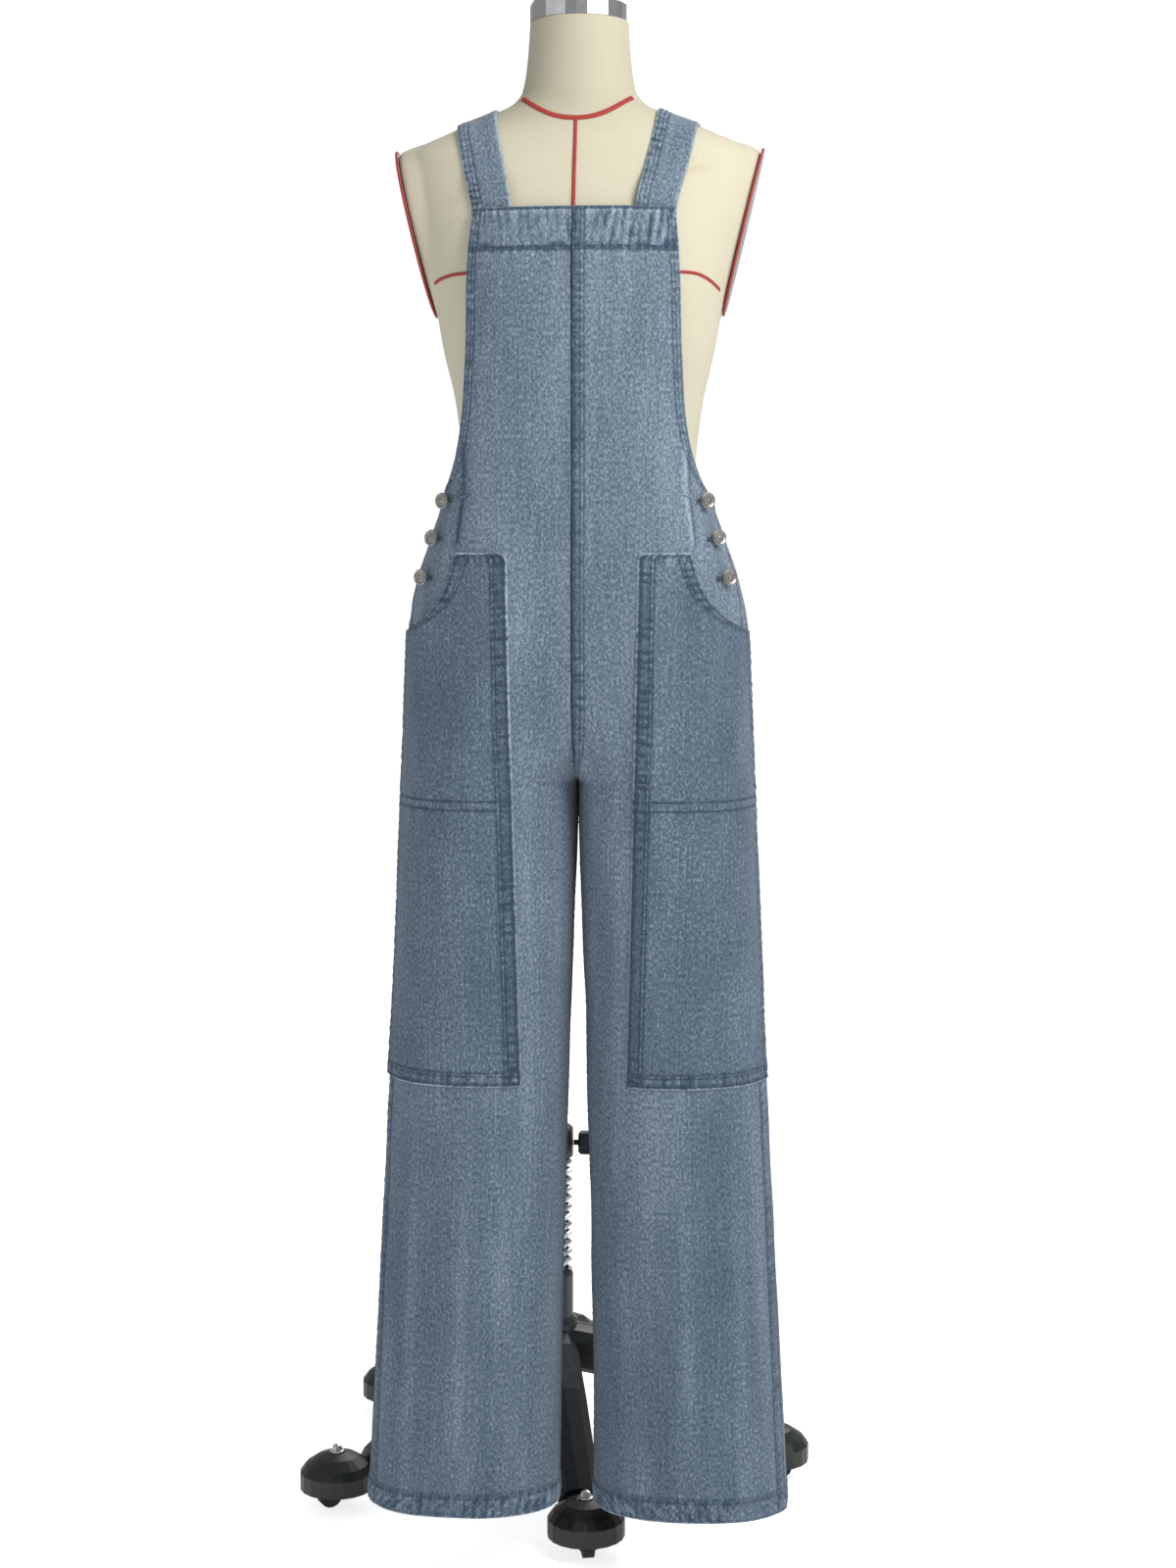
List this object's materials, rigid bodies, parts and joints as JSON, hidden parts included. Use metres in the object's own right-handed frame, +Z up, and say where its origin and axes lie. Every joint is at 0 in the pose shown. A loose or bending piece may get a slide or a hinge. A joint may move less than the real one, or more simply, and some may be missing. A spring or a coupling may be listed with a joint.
{
  "type": "denim dungarees on a limbless dress form with a caster stand",
  "caption": "Wide-leg denim dungarees with a bib, wide straps, side buttons and pocket-knee patches, worn by a linen dress form that hangs from a rolling star-base stand.",
  "frame": {"origin": "on the floor under the centre of the whole box", "axes": "+Z up from the floor; -Y is the garment's front; +X is the wearer's left"},
  "size_m": [0.55, 0.6425, 1.6133],
  "materials": {
    "denim": "washed mid-blue denim twill, matte, worn paler on ridges and seams",
    "denim_patch": "the same denim, slightly darker, with pale worn edges",
    "linen": "cream linen canvas stretched smooth, matte",
    "plate_grey": "grey painted sheet, satin",
    "button_silver": "antique silver with a dark relief",
    "bright_steel": "bright polished steel",
    "black_cast": "black satin enamel",
    "black_plastic": "black moulded plastic",
    "black_rubber": "black tread"
  },
  "bodies": {
    "base": {"base_star": "black_cast", "outer_tube": "black_cast", "hub_sleeve": "black_plastic", "clamp_collar": "black_plastic", "spring": "bright_steel", "foot_bolt_1": "bright_steel", "foot_bolt_2": "bright_steel", "foot_bolt_3": "bright_steel", "foot_bolt_4": "bright_steel", "foot_bolt_5": "bright_steel"},
    "upper": {"front_panel_left": "denim", "front_panel_right": "denim", "back_panel_left": "denim", "back_panel_right": "denim", "patch_left": "denim_patch", "patch_right": "denim_patch", "strap_left": "denim", "strap_right": "denim", "button_left_1": "button_silver", "button_left_2": "button_silver", "button_left_3": "button_silver", "button_right_1": "button_silver", "button_right_2": "button_silver", "button_right_3": "button_silver", "form_torso": "linen", "neck_cap": "bright_steel", "armhole_plate_left": "plate_grey", "armhole_plate_right": "plate_grey", "neck_bolt": "bright_steel", "arm_eye": "black_cast", "hanger_arm": "black_cast", "post": "bright_steel"},
    "knob": {"clamp_knob": "black_plastic"},
    "caster_1": {"caster_fork_1": "black_plastic"},
    "wheel_1": {"caster_wheel_1": "black_rubber"},
    "caster_2": {"caster_fork_2": "black_plastic"},
    "wheel_2": {"caster_wheel_2": "black_rubber"},
    "caster_3": {"caster_fork_3": "black_plastic"},
    "wheel_3": {"caster_wheel_3": "black_rubber"},
    "caster_4": {"caster_fork_4": "black_plastic"},
    "wheel_4": {"caster_wheel_4": "black_rubber"},
    "caster_5": {"caster_fork_5": "black_plastic"},
    "wheel_5": {"caster_wheel_5": "black_rubber"}
  },
  "joints": [
    {"name": "post_height", "type": "slide", "parent": "base", "child": "upper", "axis": [0, 0, 1], "range_m": [0, 0.12]},
    {"name": "knob_turn", "type": "hinge", "parent": "base", "child": "knob", "pos_m": [-0.0182, 0.0461, 0.367], "axis": [1, 0, 0], "continuous": true},
    {"name": "caster_swivel_1", "type": "hinge", "parent": "base", "child": "caster_1", "pos_m": [0.04066, -0.20099, 0.032], "axis": [0, 0, 1], "continuous": true},
    {"name": "caster_roll_1", "type": "hinge", "parent": "caster_1", "child": "wheel_1", "pos_m": [0.04275, -0.20974, 0.01275], "axis": [0.9728, 0.2317, 0], "continuous": true},
    {"name": "caster_swivel_2", "type": "hinge", "parent": "base", "child": "caster_2", "pos_m": [-0.235, -0.08624, 0.032], "axis": [0, 0, 1], "continuous": true},
    {"name": "caster_roll_2", "type": "hinge", "parent": "caster_2", "child": "wheel_2", "pos_m": [-0.24268, -0.09093, 0.01275], "axis": [0.521, -0.8536, 0], "continuous": true},
    {"name": "caster_swivel_3", "type": "hinge", "parent": "base", "child": "caster_3", "pos_m": [-0.21105, 0.2114, 0.032], "axis": [0, 0, 1], "continuous": true},
    {"name": "caster_roll_3", "type": "hinge", "parent": "caster_3", "child": "wheel_3", "pos_m": [-0.21789, 0.21725, 0.01275], "axis": [-0.6508, -0.7593, 0], "continuous": true},
    {"name": "caster_swivel_4", "type": "hinge", "parent": "base", "child": "caster_4", "pos_m": [0.07941, 0.2806, 0.032], "axis": [0, 0, 1], "continuous": true},
    {"name": "caster_roll_4", "type": "hinge", "parent": "caster_4", "child": "wheel_4", "pos_m": [0.08287, 0.2889, 0.01275], "axis": [-0.9232, 0.3843, 0], "continuous": true},
    {"name": "caster_swivel_5", "type": "hinge", "parent": "base", "child": "caster_5", "pos_m": [0.23498, 0.02573, 0.032], "axis": [0, 0, 1], "continuous": true},
    {"name": "caster_roll_5", "type": "hinge", "parent": "caster_5", "child": "wheel_5", "pos_m": [0.24395, 0.02501, 0.01275], "axis": [0.0802, 0.9968, 0], "continuous": true}
  ]
}
